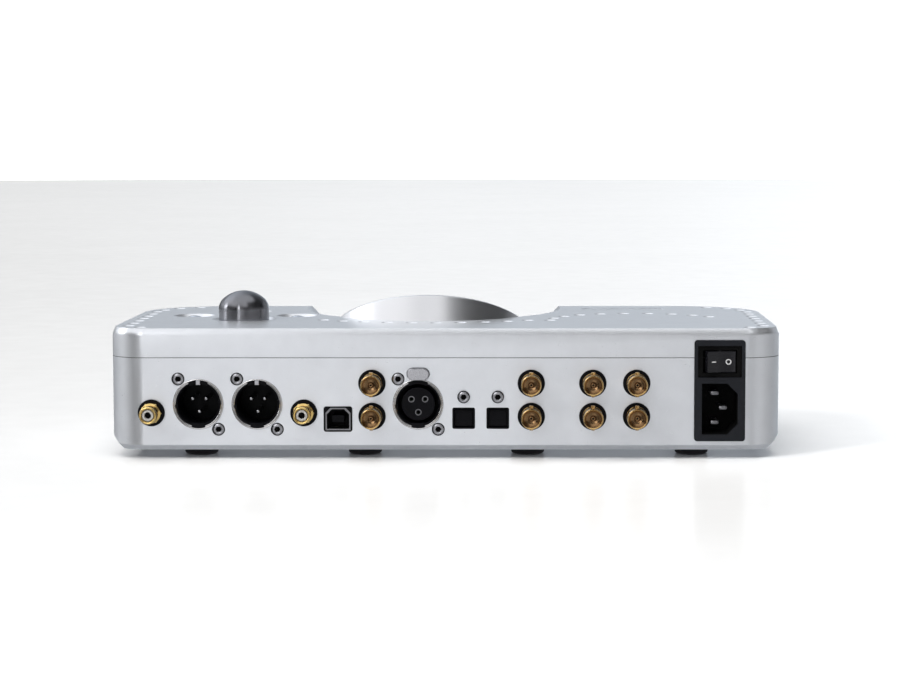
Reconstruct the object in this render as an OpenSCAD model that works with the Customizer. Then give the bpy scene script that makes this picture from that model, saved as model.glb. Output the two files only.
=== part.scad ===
// Desktop headphone amplifier: a two-part milled casing with a sloping round
// display window, a domed volume knob beside three ball buttons, and a rear
// panel of balanced, phono, coaxial, optical, USB and mains connectors.
// +X is the object's left seen from the front, -Y is the front, +Z is up.
// The origin is on the table, under the middle of the object.

/* [Casing] */
// Width of the casing
body_w = 320; // [300:1:340]
// Depth of the casing
body_d = 145; // [140:1:160]
// Height of the casing without its feet
body_h = 58; // [56:1:64]
// Height of the upper casing
upper_h = 14; // [13:0.5:16]
// Plan radius of the rear corners
rear_r = 17; // [14:1:20]
// Plan radius of the front corners
front_r = 42; // [36:1:46]
// Thickness of the casing walls
wall = 4.5; // [4:0.5:5]
// Thickness of the floor and of the top plate
plate_t = 4; // [3:0.5:4]
// Height of the bevel round the top edge
top_bevel = 3.5; // [2:0.5:4]
// How far the bevel round the top edge runs in
top_bevel_in = 1.4; // [1:0.1:3.5]
// Bevel round the bottom edge
bottom_bevel = 2.5; // [1:0.5:3]
// Flat bevel along each side of the bottom
side_bevel = 6.5; // [4:0.5:7]
// Fine bevel that marks the joint between the casings
seam_bevel = 0.35; // [0.2:0.05:0.5]

/* [Feet] */
// Radius of a rubber foot
foot_r = 8; // [6:0.5:9]
// Height of a rubber foot
foot_h = 4; // [3:0.5:6]
// Rounding of a foot's lower edge
foot_round = 1.2; // [0.5:0.1:1.5]
// Distance of the inner feet from the middle
foot_inner_x = 39.3; // [35:0.1:45]
// Distance of the outer feet from the middle
foot_outer_x = 118.5; // [110:0.5:122]
// Distance of the rear feet from the rear face
foot_from_rear = 21; // [18:1:26]
// Distance of the front feet from the front face
foot_from_front = 28; // [24:1:34]

/* [Display] */
// Outer radius of the display barrel
barrel_r = 53.5; // [50:0.5:55]
// Place of the display across the width
barrel_x = 10; // [0:1:14]
// Distance of the rim's centre from the rear face
rim_from_rear = 97; // [96:0.5:98]
// Height of the rim's centre above the underside of the casing
rim_above_base = 44; // [43:0.5:45]
// Tilt of the display from level
tilt = 30; // [28:1:32]
// Widening of the scoop for each millimetre out from the rim
scoop_flare = 0.57; // [0.5:0.01:0.6]

/* [Controls] */
// Place of the volume knob across the width
knob_x = 102; // [100:0.1:104]
// Distance of the knob from the rear face
knob_from_rear = 58.5; // [56:0.5:61]
// Radius of the volume knob
knob_r = 12.5; // [11:0.25:13]
// Middle of the ball buttons across the width
control_x = 103.5; // [102:0.1:105]
// Distance of the middle of the ball buttons from the rear face
control_from_rear = 80; // [78:0.5:82]
// Distance of each ball button from their middle
button_reach = 26; // [25:0.5:27]
// Radius of a ball button
ball_r = 8.5; // [8:0.1:9]
// Travel of a ball button
button_travel = 1; // [0.5:0.1:1]

/* [Vents] */
// Radius of a vent hole
vent_r = 2.4; // [1.5:0.1:2.8]
// Depth and width of the countersink round a vent hole
vent_sink = 0.7; // [0.3:0.1:1]
// Distance between neighbouring vent holes
vent_pitch = 12; // [11:0.5:14]
// Distance of the outer row of vents from the casing's edge
vent_inset = 7.5; // [7:0.5:9]

/* [Rear connectors] */
// Height of the balanced connectors
xlr_z = 26; // [25.5:0.1:26.5]
// Height of the lower row of coaxial sockets
bnc_low_z = 20.2; // [19.5:0.1:21]
// Distance between the two rows of coaxial sockets
bnc_rise = 15.8; // [15:0.1:16]
// Height of the phono sockets
phono_z = 21.9; // [20:0.1:24]
// Height of the optical inputs
optical_z = 19.3; // [18.5:0.1:20]
// Height of the USB socket
usb_z = 18.9; // [18.5:0.1:20]
// How far the phono and coaxial sockets stand out
socket_proud = 12; // [10:0.5:13]
// Place of the mains inlet across the width
mains_x = -130.4; // [-131:0.1:-129]

/* [Front] */
// How far the headphone socket nuts stand out
nut_proud = 2; // [1.5:0.5:3]
// Height of the headphone sockets
jack_z = 26; // [24:1:28]

/* [Hidden] */
$fn = 64;
half_w = body_w / 2;
base_z = foot_h;
top_z = base_z + body_h;
seam_z = top_z - upper_h;
floor_z = base_z + plate_t;
ceiling_z = top_z - plate_t;
front_y = (nut_proud - socket_proud - body_d) / 2;
rear_y = front_y + body_d;
inner_rear_y = rear_y - wall;
inner_front_y = front_y + wall;

rim_y = rear_y - rim_from_rear;
rim_z = base_z + rim_above_base;
barrel_depth = 24;
collar_t = 4;
scoop_h = 70;
barrel_floor_gap = 0.6;
ledge_r = 40;
ledge_top = -8;
ledge_t = 2.5;
seal_t = 0.8;
window_t = 3;
window_r = 50.2;
ring_t = 2.4;

knob_y = rear_y - knob_from_rear;
knob_hole_r = knob_r + 0.5;
knob_base_z = top_z - 4.4;
knob_side_z = top_z + 4.8;
crown_h = 9.4;
knuckle_r = 7.4;
crown_r = ((knob_r - knuckle_r) ^ 2 + crown_h ^ 2 - knuckle_r ^ 2) / (2 * (crown_h - knuckle_r));
crown_edge = crown_r * sin(atan((knob_r - knuckle_r) / (crown_r - crown_h)));
control_y = rear_y - control_from_rear;
ball_z = top_z - ball_r;
ball_hole_r = ball_r - 0.5;
dish_r = 10.6;
dish_depth = 3;
control_board_z = top_z - 24;
board_t = 1.6;
control_board_r = 32.5;
control_post_reach = 19;
control_post_r = 3.5;
shaft_r = 3;
shaft_top_z = top_z + 6;
button_sites = [
    [control_x + button_reach, control_y],
    [control_x - button_reach, control_y],
    [control_x, control_y - button_reach]
];
control_posts = [
    for (dx = [-1, 1])
        for (dy = [-1, 1])
            [control_x + dx * control_post_reach, control_y + dy * control_post_reach]
];

spacer_h = 1.6;
board_z = floor_z + spacer_h;
board_screw_r = 1.25;
board_hole_r = 1.4;
spacer_r = 2.6;
main_board_x = [-104, 144];
main_board_y = [-28, 61.5];
power_board_x = [-143, -106];
power_board_y = [-40, 24];
phones_board_x = [-122, -70];
phones_board_y = [-66, -40];
jack_h = 16;
phones_board_z = jack_z - jack_h / 2 - board_t;

xlr_male_x = [117.1, 89.2];
xlr_female_x = 12.7;
xlr_shell_r = 12.1;
xlr_mouth_r = 10.5;
xlr_proud = 0.5;
xlr_depth = 22;
xlr_pin_circle = 3.96;
xlr_pin_angles = [35, 145, 270];
xlr_screw_dx = 9.5;
xlr_screw_dz = 12;
xlr_pin_r = 1.2;
xlr_flange = [26, 29];
xlr_flange_t = 2.4;
xlr_sink = 1.6;
panel_head_r = 3;
panel_shank_r = 1.25;
panel_hole_r = 1.5;
latch_z = xlr_z + 14.4;
latch_w = 10.6;
latch_h = 5.7;
latch_gap = 0.2;
phono_x = [139.4, 67];
phono_r = 4.15;
phono_neck_r = 3.2;
phono_bore_r = 1.7;
phono_hole_r = 4.3;
phono_washer_r = 6.4;
phono_nut_t = 2.4;
usb_x = 50.8;
usb_w = 13.6;
usb_h = 12.1;
usb_round = 1.2;
usb_back_y = inner_rear_y - 11;
usb_shell_hw = 6;
usb_shell_hh = 5.4;
usb_shell_t = 0.7;
usb_corner = 2.4;
bnc_x = [34.6, -41, -70.2, -91];
bnc_z = [bnc_low_z, bnc_low_z + bnc_rise];
bnc_r = 4.85;
bnc_bore_r = 4.05;
bnc_washer_r = 6.5;
bnc_housing_w = 14.5;
bnc_housing_top = 43;
optical_x = [-8.9, -25.1];
optical_w = 10.8;
optical_h = 10.2;
optical_round = 0.9;
optical_screw_z = optical_z + 10.2;
bezel_w = 24.2;
bezel_h = 48.2;
bezel_proud = 1.2;
bezel_round = 1.5;
mains_z = 32.5;
mains_body_w = 22.6;
mains_body_h = 46.6;
mains_depth = 40;
inlet_z = mains_z - 8.7;
inlet_w = 17;
inlet_h = 24.3;
inlet_cut = 5;
inlet_depth = 16;
blade_spread = 7;
blade_shift = 2;
rocker_z = mains_z + 13.8;
rocker_r = 7.65;
rocker_half = 6.9;
rocker_rise = 3.2;
rocker_h = 10;
rocker_swing = 12;
rocker_pivot_y = rear_y - 0.8;
rocker_pin_r = 0.9;
jack_x = [-108, -84];
jack_r = 3.2;
jack_neck_r = 4.9;
jack_depth = 30;
jack_w = 15;

pillars = [
    [half_w - 11, 40], [half_w - 11, -25], [half_w - 18.5, -59],
    [11 - half_w, 40], [11 - half_w, -25], [18.5 - half_w, -59]
];
pillar_r = 5;
casing_screw_r = 2;
casing_head_r = 3.6;
casing_head_gap = 0.4;
casing_pocket_h = 3.2;
foot_screw_r = 1.5;
foot_sites = [
    for (x = [-foot_outer_x, -foot_inner_x, foot_inner_x, foot_outer_x])
        for (y = [rear_y - foot_from_rear, front_y + foot_from_front]) [x, y]
];
main_spacers = [[-98, -22], [-98, 30], [-12, -22], [66, -22], [138, -22], [138, 30], [24, 34]];
power_spacers = [[-139, -36], [-110, -36], [-139, 19], [-110, 19]];
phones_spacers = [[-119, -43], [-73, -43], [-96, -63]];

// ---- Shared shapes ----

// Edge section of the casing, from depth 0 out to the face, bevelled low and high
module edge_section(depth, z0, z1, low, high)
    polygon(concat(
        [[0, z0]],
        low > 0 ? [[depth - low, z0], [depth, z0 + low]] : [[depth, z0]],
        high > 0 ? [[depth, z1 - high], [depth - top_bevel_in, z1]] : [[depth, z1]],
        [[0, z1]]));

// A block with the casing's outline, set in from the outer face
module casing_block(z0, z1, low = 0, high = 0, inset = 0) {
    rear_cx = half_w - rear_r;
    rear_cy = rear_y - rear_r;
    front_cx = half_w - front_r;
    front_cy = front_y + front_r;
    rr = rear_r - inset;
    fr = front_r - inset;
    translate([-rear_cx, front_cy, z0])
        cube([2 * rear_cx, rear_cy - front_cy, z1 - z0]);
    translate([-rear_cx, rear_cy, 0])
        rotate([90, 0, 90])
            linear_extrude(2 * rear_cx) edge_section(rr, z0, z1, low, high);
    mirror([0, 1, 0])
        translate([-front_cx, -front_cy, 0])
            rotate([90, 0, 90])
                linear_extrude(2 * front_cx) edge_section(fr, z0, z1, low, high);
    for (side = [0, 1])
        mirror([side, 0, 0]) {
            translate([rear_cx, rear_cy, 0])
                rotate([90, 0, 0])
                    linear_extrude(rear_cy - front_cy) edge_section(rr, z0, z1, low, high);
            translate([rear_cx, rear_cy, 0])
                rotate_extrude(angle = 90) edge_section(rr, z0, z1, low, high);
            translate([front_cx, front_cy, 0])
                rotate([0, 0, -90])
                    rotate_extrude(angle = 90) edge_section(fr, z0, z1, low, high);
        }
}

// Moves its children to the rim of the display, with +Z out of the window
module on_display()
    translate([barrel_x, rim_y, rim_z]) rotate([tilt, 0, 0]) children();

// A solid of the display barrel's bore and the scoop that widens from its rim
module scoop_solid(r, depth)
    on_display()
        rotate_extrude()
            polygon([[0, -depth], [r, -depth], [r, 0],
                [r + scoop_h * scoop_flare, scoop_h], [0, scoop_h]]);

// A slab over the whole plan, used to keep one layer of a solid
module layer(z0, z1)
    translate([-body_w, -body_d, z0]) cube([2 * body_w, 2 * body_d, z1 - z0]);

// A block centred in X and Z, from y0 back to y1
module panel_block(x, z, w, h, y0, y1)
    translate([x - w / 2, y0, z - h / 2]) cube([w, y1 - y0, h]);

// A block centred in X and Z with its four long edges rounded
module soft_block(x, z, w, h, r, y0, y1) {
    panel_block(x, z, w - 2 * r, h, y0, y1);
    for (side = [-1, 1]) {
        panel_block(x + side * (w - r) / 2, z, r, h - 2 * r, y0, y1);
        for (rise = [-1, 1])
            rod_y(x + side * (w / 2 - r), z + rise * (h / 2 - r), r, y0, y1);
    }
}

// A cylinder along Y from y0 to y1
module rod_y(x, z, r, y0, y1)
    translate([x, y0, z]) rotate([-90, 0, 0]) cylinder(h = y1 - y0, r = r);

// A tube along Y from y0 to y1
module tube_y(x, z, r, bore, y0, y1)
    difference() {
        rod_y(x, z, r, y0, y1);
        rod_y(x, z, bore, y0 - 1, y1 + 1);
    }

// A tube along Z from z0 to z1
module tube_z(x, y, r, bore, z0, z1)
    translate([x, y, z0])
        difference() {
            cylinder(h = z1 - z0, r = r);
            translate([0, 0, -1]) cylinder(h = z1 - z0 + 2, r = bore);
        }

// A socket screw along Z: head from z0 up to z1, shank on to z2, hex recess below
module socket_screw(x, y, head_r, shank_r, z0, z1, z2)
    difference() {
        union() {
            translate([x, y, z0]) cylinder(h = z1 - z0, r = head_r);
            translate([x, y, z1]) cylinder(h = z2 - z1, r = shank_r);
        }
        translate([x, y, z0 - 1]) cylinder(h = 1 + (z1 - z0) * 0.6, r = head_r * 0.5, $fn = 6);
    }

// A socket screw along Y, its head outside the rear panel
module panel_screw(x, z, head_r, shank_r, y_head, y_face, y_end)
    difference() {
        union() {
            rod_y(x, z, head_r, y_face, y_head);
            rod_y(x, z, shank_r, y_end, y_face);
        }
        translate([x, y_face + 0.5, z])
            rotate([-90, 0, 0]) cylinder(h = 3, r = head_r * 0.5, $fn = 6);
    }

// ---- Casing ----

// Vent holes at even pitch along an arc, from angle a0 to a1
function arc_vents(cx, cy, r, a0, a1) =
    let (n = max(1, round(abs(a1 - a0) * PI / 180 * r / vent_pitch)))
    [for (i = [0 : n]) let (a = a0 + (a1 - a0) * i / n) [cx + r * cos(a), cy + r * sin(a)]];

edge_vent_x = half_w - vent_inset;
side_vent_n = 6;
side_vents = [
    for (i = [1 : side_vent_n - 1])
        [edge_vent_x, rear_y - rear_r + (front_y + front_r - rear_y + rear_r) * i / side_vent_n]
];
edge_vents = concat(
    arc_vents(half_w - rear_r, rear_y - rear_r, rear_r - vent_inset, 75, 0),
    side_vents,
    arc_vents(half_w - front_r, front_y + front_r, front_r - vent_inset, 0, -62));
vents = concat(
    arc_vents(barrel_x, rim_y - 20.5, 84, 52, 126),
    arc_vents(-93.5, rear_y - 50, 43, 0, -150),
    edge_vents,
    [for (p = edge_vents) [-p[0], p[1]]]);

module lower_casing() color("silver")
    difference() {
        union() {
            difference() {
                casing_block(base_z, seam_z, low = bottom_bevel);
                casing_block(floor_z, seam_z + 1, inset = wall);
            }
            intersection() {
                casing_block(floor_z - 1, seam_z, inset = wall / 2);
                scoop_solid(barrel_r + collar_t, barrel_depth);
            }
            for (p = pillars)
                translate([p[0], p[1], floor_z - 1]) cylinder(h = seam_z - floor_z + 1, r = pillar_r);
        }
        for (side = [0, 1])
            mirror([side, 0, 0])
                translate([0, body_d, 0])
                    rotate([90, 0, 0])
                        linear_extrude(2 * body_d)
                            polygon([[half_w - side_bevel - 1, base_z - 1],
                                [half_w + 1, base_z + side_bevel + 1],
                                [half_w + 1, base_z - 1]]);
        intersection() {
            scoop_solid(barrel_r, barrel_depth + 20);
            layer(floor_z + barrel_floor_gap, top_z + 40);
        }
        for (p = pillars) {
            translate([p[0], p[1], base_z - 1]) cylinder(h = body_h, r = casing_screw_r + 0.2);
            translate([p[0], p[1], base_z - 1])
                cylinder(h = casing_pocket_h + 1, r = casing_head_r + casing_head_gap);
        }
        for (p = foot_sites)
            translate([p[0], p[1], base_z - 1]) cylinder(h = plate_t + 2, r = foot_screw_r);
        rear_openings();
        for (x = jack_x) rod_y(x, jack_z, jack_neck_r + 0.1, front_y - 1, inner_front_y + 1);
    }

// Everything cut through the rear wall
module rear_openings() {
    y0 = inner_rear_y - 1;
    y1 = rear_y + 1;
    for (x = concat(xlr_male_x, [xlr_female_x])) {
        rod_y(x, xlr_z, xlr_shell_r, y0, y1);
        for (side = [1, -1]) {
            rod_y(x + side * xlr_screw_dx, xlr_z + side * xlr_screw_dz, panel_hole_r, y0, y1);
            rod_y(x + side * xlr_screw_dx, xlr_z + side * xlr_screw_dz, panel_head_r + 0.1,
                rear_y - xlr_sink, y1);
        }
    }
    latch_bar(latch_gap, y0, y1);
    for (x = phono_x) rod_y(x, phono_z, phono_hole_r, y0, y1);
    soft_block(usb_x, usb_z, usb_w, usb_h, usb_round, y0, y1);
    for (x = bnc_x)
        for (z = bnc_z) rod_y(x, z, bnc_washer_r, y0, y1);
    for (x = optical_x) {
        soft_block(x, optical_z, optical_w, optical_h, optical_round, y0, y1);
        rod_y(x, optical_screw_z, panel_hole_r, y0, y1);
    }
    panel_block(mains_x, mains_z, mains_body_w, mains_body_h, y0, y1);
}

module upper_casing() color("silver")
    difference() {
        union() {
            difference() {
                casing_block(seam_z, top_z, low = seam_bevel, high = top_bevel);
                casing_block(seam_z - 1, ceiling_z, inset = wall);
            }
            intersection() {
                casing_block(seam_z, top_z - top_bevel, inset = wall / 2);
                scoop_solid(barrel_r + collar_t, barrel_depth);
            }
            for (p = pillars)
                translate([p[0], p[1], seam_z]) cylinder(h = ceiling_z - seam_z + 1, r = pillar_r);
            for (p = control_posts)
                translate([p[0], p[1], control_board_z + board_t])
                    cylinder(h = ceiling_z - control_board_z, r = control_post_r);
        }
        scoop_solid(barrel_r, barrel_depth + 20);
        for (p = pillars)
            translate([p[0], p[1], seam_z - 1]) cylinder(h = 10, r = casing_screw_r + 0.05);
        for (p = control_posts)
            translate([p[0], p[1], control_board_z]) cylinder(h = 8, r = board_screw_r);
        translate([knob_x, knob_y, ceiling_z - 1]) cylinder(h = plate_t + 2, r = knob_hole_r);
        translate([knob_x, knob_y, top_z - 1.2])
            cylinder(h = 1.3, r1 = knob_hole_r + 1.6, r2 = knob_hole_r + 3.1);
        for (p = button_sites) {
            translate([p[0], p[1], ceiling_z - 1]) cylinder(h = plate_t + 2, r = ball_hole_r);
            translate([p[0], p[1], top_z - dish_depth])
                cylinder(h = dish_depth + 0.1, r1 = ball_hole_r, r2 = dish_r + 0.1);
        }
        for (p = vents)
            translate([p[0], p[1], 0]) {
                translate([0, 0, ceiling_z - 1]) cylinder(h = plate_t + 2, r = vent_r);
                translate([0, 0, top_z - vent_sink])
                    cylinder(h = vent_sink + 0.1, r1 = vent_r, r2 = vent_r + vent_sink + 0.1);
            }
        pill_recess();
        panel_block(mains_x, mains_z, mains_body_w, mains_body_h, inner_rear_y - 1, rear_y + 1);
    }

// Plain round-ended recess on the top plate
module pill_recess() {
    recess_x = -89.5;
    recess_y = rear_y - 124;
    recess_l = 44;
    recess_w = 7;
    translate([recess_x - (recess_l - recess_w) / 2, recess_y - recess_w / 2, top_z - 1])
        cube([recess_l - recess_w, recess_w, 2]);
    for (side = [-1, 1])
        translate([recess_x + side * (recess_l - recess_w) / 2, recess_y, top_z - 1])
            cylinder(h = 2, r = recess_w / 2);
}

module casing_screws() color("dimgray")
    for (p = pillars)
        socket_screw(p[0], p[1], casing_head_r, casing_screw_r, base_z + casing_head_gap,
            base_z + casing_pocket_h, seam_z + 8);

module rubber_feet() color("black")
    for (p = foot_sites)
        translate([p[0], p[1], 0])
            difference() {
                union() {
                    cylinder(h = foot_h, r = foot_r - foot_round);
                    translate([0, 0, foot_round]) cylinder(h = foot_h - foot_round, r = foot_r);
                    translate([0, 0, foot_round])
                        rotate_extrude()
                            translate([foot_r - foot_round, 0]) circle(foot_round, $fn = 24);
                }
                translate([0, 0, -1]) cylinder(h = foot_h + 2, r = 1.6);
                translate([0, 0, -1]) cylinder(h = 2.8, r = 3.4);
            }

module foot_screws() color("dimgray")
    for (p = foot_sites)
        socket_screw(p[0], p[1], 2.8, foot_screw_r, 0.6, 1.8, base_z + 3.6);

// ---- Display ----

module display_barrel() color("lightgray")
    difference() {
        on_display()
            rotate_extrude()
                polygon([[barrel_r - 3.5, -barrel_depth], [barrel_r, -barrel_depth],
                    [barrel_r, -0.8], [barrel_r - 0.6, 0], [barrel_r - 2.4, 0],
                    [barrel_r - 3, -0.6], [barrel_r - 3, ledge_top], [ledge_r, ledge_top],
                    [ledge_r, ledge_top - ledge_t], [barrel_r - 3.5, ledge_top - ledge_t]]);
        layer(-20, floor_z + barrel_floor_gap);
    }

module display_seal() color("black")
    on_display()
        tube_z(0, 0, window_r - 1, ledge_r + 2, ledge_top, ledge_top + seal_t);

module display_window() color([0.1, 0.12, 0.14, 0.5])
    on_display()
        translate([0, 0, ledge_top + seal_t]) cylinder(h = window_t, r = window_r);

module display_ring() color("dimgray")
    on_display() {
        low = ledge_top + seal_t + window_t;
        rotate_extrude()
            polygon([[44, low], [barrel_r - 3.05, low], [barrel_r - 3.05, low + ring_t],
                [46, low + ring_t], [44, low + 0.8]]);
    }

module display_board() color("darkgreen")
    on_display()
        translate([0, 0, ledge_top - ledge_t - board_t])
            difference() {
                cylinder(h = board_t, r = 47);
                for (a = [45 : 90 : 315])
                    rotate([0, 0, a]) translate([43.5, 0, -1]) cylinder(h = board_t + 2, r = 1.1);
            }

module display_panel() color("black")
    on_display()
        translate([-32, -17, ledge_top - ledge_t]) cube([64, 34, 2.9]);

module display_ribbon() color("gainsboro") {
    ribbon_w = 20;
    ribbon_t = 0.5;
    start_y = -18.4;
    start_z = 38;
    translate([barrel_x - ribbon_w / 2, 0, 0])
        rotate([90, 0, 90])
            linear_extrude(ribbon_w)
                polygon([[start_y, start_z], [start_y + ribbon_t, start_z],
                    [start_y + ribbon_t, 24], [-11.5, 17], [-11.5, board_z + board_t],
                    [-12, board_z + board_t], [-12, 16.8], [start_y, 23.8]]);
}

// ---- Controls ----

module control_board() color("darkgreen")
    difference() {
        translate([control_x, control_y, control_board_z])
            cylinder(h = board_t, r = control_board_r);
        for (p = control_posts)
            translate([p[0], p[1], control_board_z - 1]) cylinder(h = board_t + 2, r = board_hole_r);
    }

module volume_encoder() color("darkslategray")
    difference() {
        union() {
            translate([knob_x - 6.5, knob_y - 6.5, control_board_z + board_t]) cube([13, 13, 7]);
            translate([knob_x, knob_y, control_board_z + board_t + 6.5])
                cylinder(h = 9.5, r = 4.5);
        }
        translate([knob_x, knob_y, control_board_z + board_t + 0.6])
            cylinder(h = 20, r = shaft_r + 0.05);
    }

module encoder_shaft() color("lightgray") {
    low = control_board_z + board_t + 1;
    translate([knob_x, knob_y, low]) cylinder(h = shaft_top_z - low, r = shaft_r);
}

// Half section of the knob: a straight side, a tight knuckle and a flatter crown
module knob_section() {
    translate([0, knob_base_z]) square([knob_r, knob_side_z - knob_base_z]);
    translate([0, knob_side_z])
        intersection() {
            translate([knob_r - knuckle_r, 0]) circle(knuckle_r);
            square(knob_r);
        }
    translate([0, knob_side_z])
        intersection() {
            translate([0, crown_h - crown_r]) circle(crown_r);
            square([crown_edge, crown_h + 1]);
        }
}

module volume_knob() color("gray")
    difference() {
        translate([knob_x, knob_y, 0]) rotate_extrude() knob_section();
        translate([knob_x, knob_y, knob_base_z - 1])
            cylinder(h = shaft_top_z - knob_base_z + 1, r = shaft_r);
        translate([knob_x, knob_y, knob_base_z - 1]) cylinder(h = 2.6, r = knob_r - 3);
    }

// A ball with the short stem that presses its switch
module ball_button(site)
    translate([site[0], site[1], 0]) {
        stem_z = control_board_z + board_t + 3.5 + button_travel + 0.3;
        union() {
            translate([0, 0, ball_z]) sphere(r = ball_r);
            translate([0, 0, stem_z]) cylinder(h = ball_z - stem_z, r = 2.5);
        }
    }

module button_outer() color("ghostwhite") ball_button(button_sites[0]);
module button_inner() color("ghostwhite") ball_button(button_sites[1]);
module button_front() color("ghostwhite") ball_button(button_sites[2]);

module button_switches() color("black")
    for (p = button_sites)
        translate([p[0], p[1], control_board_z + board_t]) {
            translate([-3, -3, 0]) cube([6, 6, 2.8]);
            translate([0, 0, 2.8]) cylinder(h = 0.7, r = 1.75);
        }

// ---- Circuit boards ----

// A board with screw holes over its spacers
module board(xs, ys, z, holes)
    difference() {
        translate([xs[0], ys[0], z]) cube([xs[1] - xs[0], ys[1] - ys[0], board_t]);
        for (p = holes) translate([p[0], p[1], z - 1]) cylinder(h = board_t + 2, r = board_hole_r);
    }

module main_board() color("darkgreen") board(main_board_x, main_board_y, board_z, main_spacers);
module power_board() color("darkgreen") board(power_board_x, power_board_y, board_z, power_spacers);
module headphone_board() color("darkgreen")
    board(phones_board_x, phones_board_y, phones_board_z, phones_spacers);

module board_spacers() color("gold") {
    for (p = concat(main_spacers, power_spacers)) tube_z(p[0], p[1], spacer_r, spacer_r / 2, floor_z, board_z);
    for (p = phones_spacers) tube_z(p[0], p[1], spacer_r, spacer_r / 2, floor_z, phones_board_z);
}

// A small domed board screw, head up at z, shank down by reach
module board_screw(x, y, z, reach)
    translate([x, y, z]) {
        cylinder(h = 1.4, r = 2.3);
        translate([0, 0, -reach]) cylinder(h = reach, r = board_screw_r);
    }

module board_screws() color("silver") {
    for (p = concat(main_spacers, power_spacers)) board_screw(p[0], p[1], board_z + board_t, 3);
    for (p = phones_spacers) board_screw(p[0], p[1], phones_board_z + board_t, 5);
    for (p = control_posts)
        translate([p[0], p[1], control_board_z]) rotate([180, 0, 0]) board_screw(0, 0, 0, 7);
    on_display()
        for (a = [45 : 90 : 315])
            rotate([0, 0, a])
                translate([43.5, 0, ledge_top - ledge_t - board_t - 1]) {
                    cylinder(h = 1, r = 2);
                    cylinder(h = 1 + board_t, r = 1.1);
                }
}

module processor_chip() color("black")
    translate([24, 2, board_z + board_t]) cube([23, 23, 2.4]);

module processor_heat_sink() color("dimgray")
    translate([23, 1, board_z + board_t + 2.4])
        difference() {
            cube([25, 25, 9]);
            for (i = [0 : 4]) translate([2.6 + i * 4.4, -1, 2]) cube([2.4, 27, 8]);
        }

module board_chips() color("black")
    for (p = [[-28, 4], [-26, 22], [-4, 4], [70, 8], [70, 26], [100, 8], [100, 26]])
        translate([p[0], p[1], board_z + board_t]) cube([10, 10, 1.6]);

module filter_capacitors() color("midnightblue")
    for (i = [0 : 5])
        translate([-88 + i * 11, 34, board_z + board_t]) cylinder(h = 14, r = 4.5);

module output_heat_sink() color("dimgray")
    translate([-102.5, -14, board_z + board_t])
        difference() {
            cube([54, 12, 20]);
            for (i = [0 : 8]) translate([2.8 + i * 5.8, 5, -1]) cube([3.4, 8, 22]);
        }

module output_transistors() color("black")
    for (i = [0 : 3])
        translate([-99 + i * 13, -18.5, board_z + board_t + 2]) {
            cube([10, 4.5, 15]);
            for (k = [0 : 2]) translate([1.6 + k * 2.8, 1.8, -2]) cube([1, 0.8, 2.5]);
        }

module power_transformer() color("goldenrod") {
    z = board_z + board_t;
    translate([-141, -27, z]) cube([32, 26, 3]);
    translate([-137, -25, z + 3]) cube([24, 22, 23]);
    translate([-141, -21, z + 3]) cube([32, 14, 24]);
}

module power_capacitors() color("midnightblue")
    for (p = [[-134, 8], [-120, 8]])
        translate([p[0], p[1], board_z + board_t]) cylinder(h = 25, r = 6);

// Two insulated leads from the inlet's tags down to the power board
module mains_wiring() color("saddlebrown")
    for (x = [mains_x - 5, mains_x + 5]) {
        lead_r = 1.2;
        turn_y = 22;
        lead_z = inlet_z;
        rod_y(x, lead_z, lead_r, turn_y, rear_y + bezel_proud - mains_depth);
        translate([x, turn_y, lead_z]) sphere(r = lead_r);
        translate([x, turn_y, board_z + board_t]) cylinder(h = lead_z - board_z - board_t, r = lead_r);
    }

// ---- Balanced connectors ----

// Round shell with a flange behind the panel, drilled for its two screws
module xlr_shell(x, mouth_y)
    difference() {
        union() {
            rod_y(x, xlr_z, xlr_shell_r, inner_rear_y - xlr_depth, rear_y + xlr_proud);
            panel_block(x, xlr_z, xlr_flange[0], xlr_flange[1], inner_rear_y - xlr_flange_t,
                inner_rear_y);
        }
        rod_y(x, xlr_z, xlr_mouth_r, mouth_y, rear_y + xlr_proud + 1);
        for (side = [1, -1])
            rod_y(x + side * xlr_screw_dx, xlr_z + side * xlr_screw_dz, panel_shank_r,
                inner_rear_y - 3, inner_rear_y + 1);
    }

xlr_floor_y = inner_rear_y - xlr_depth + 2;
xlr_insert_y = xlr_floor_y + 4;

module xlr_male_shells() color("silver")
    for (x = xlr_male_x) xlr_shell(x, xlr_floor_y);

module xlr_male_inserts() color("black")
    for (x = xlr_male_x)
        difference() {
            rod_y(x, xlr_z, xlr_mouth_r, xlr_floor_y, xlr_insert_y);
            for (a = xlr_pin_angles)
                rod_y(x + xlr_pin_circle * cos(a), xlr_z + xlr_pin_circle * sin(a), xlr_pin_r,
                    xlr_floor_y - 1, xlr_insert_y + 1);
        }

module xlr_male_pins() color("silver")
    for (x = xlr_male_x)
        for (a = xlr_pin_angles)
            rod_y(x + xlr_pin_circle * cos(a), xlr_z + xlr_pin_circle * sin(a), xlr_pin_r,
                xlr_floor_y, rear_y - 3);

module xlr_female_shell() color("silver")
    difference() {
        xlr_shell(xlr_female_x, xlr_floor_y);
        latch_bar(latch_gap, xlr_floor_y + 9, rear_y + 2);
    }

module xlr_female_insert() color("black")
    difference() {
        union() {
            rod_y(xlr_female_x, xlr_z, xlr_mouth_r, xlr_floor_y, xlr_floor_y + 4);
            rod_y(xlr_female_x, xlr_z, 7.9, xlr_floor_y + 3, rear_y - 0.8);
        }
        for (a = xlr_pin_angles)
            rod_y(xlr_female_x + xlr_pin_circle * cos(a), xlr_z + xlr_pin_circle * sin(a), 1.5,
                xlr_floor_y + 2, rear_y + 1);
    }

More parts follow.
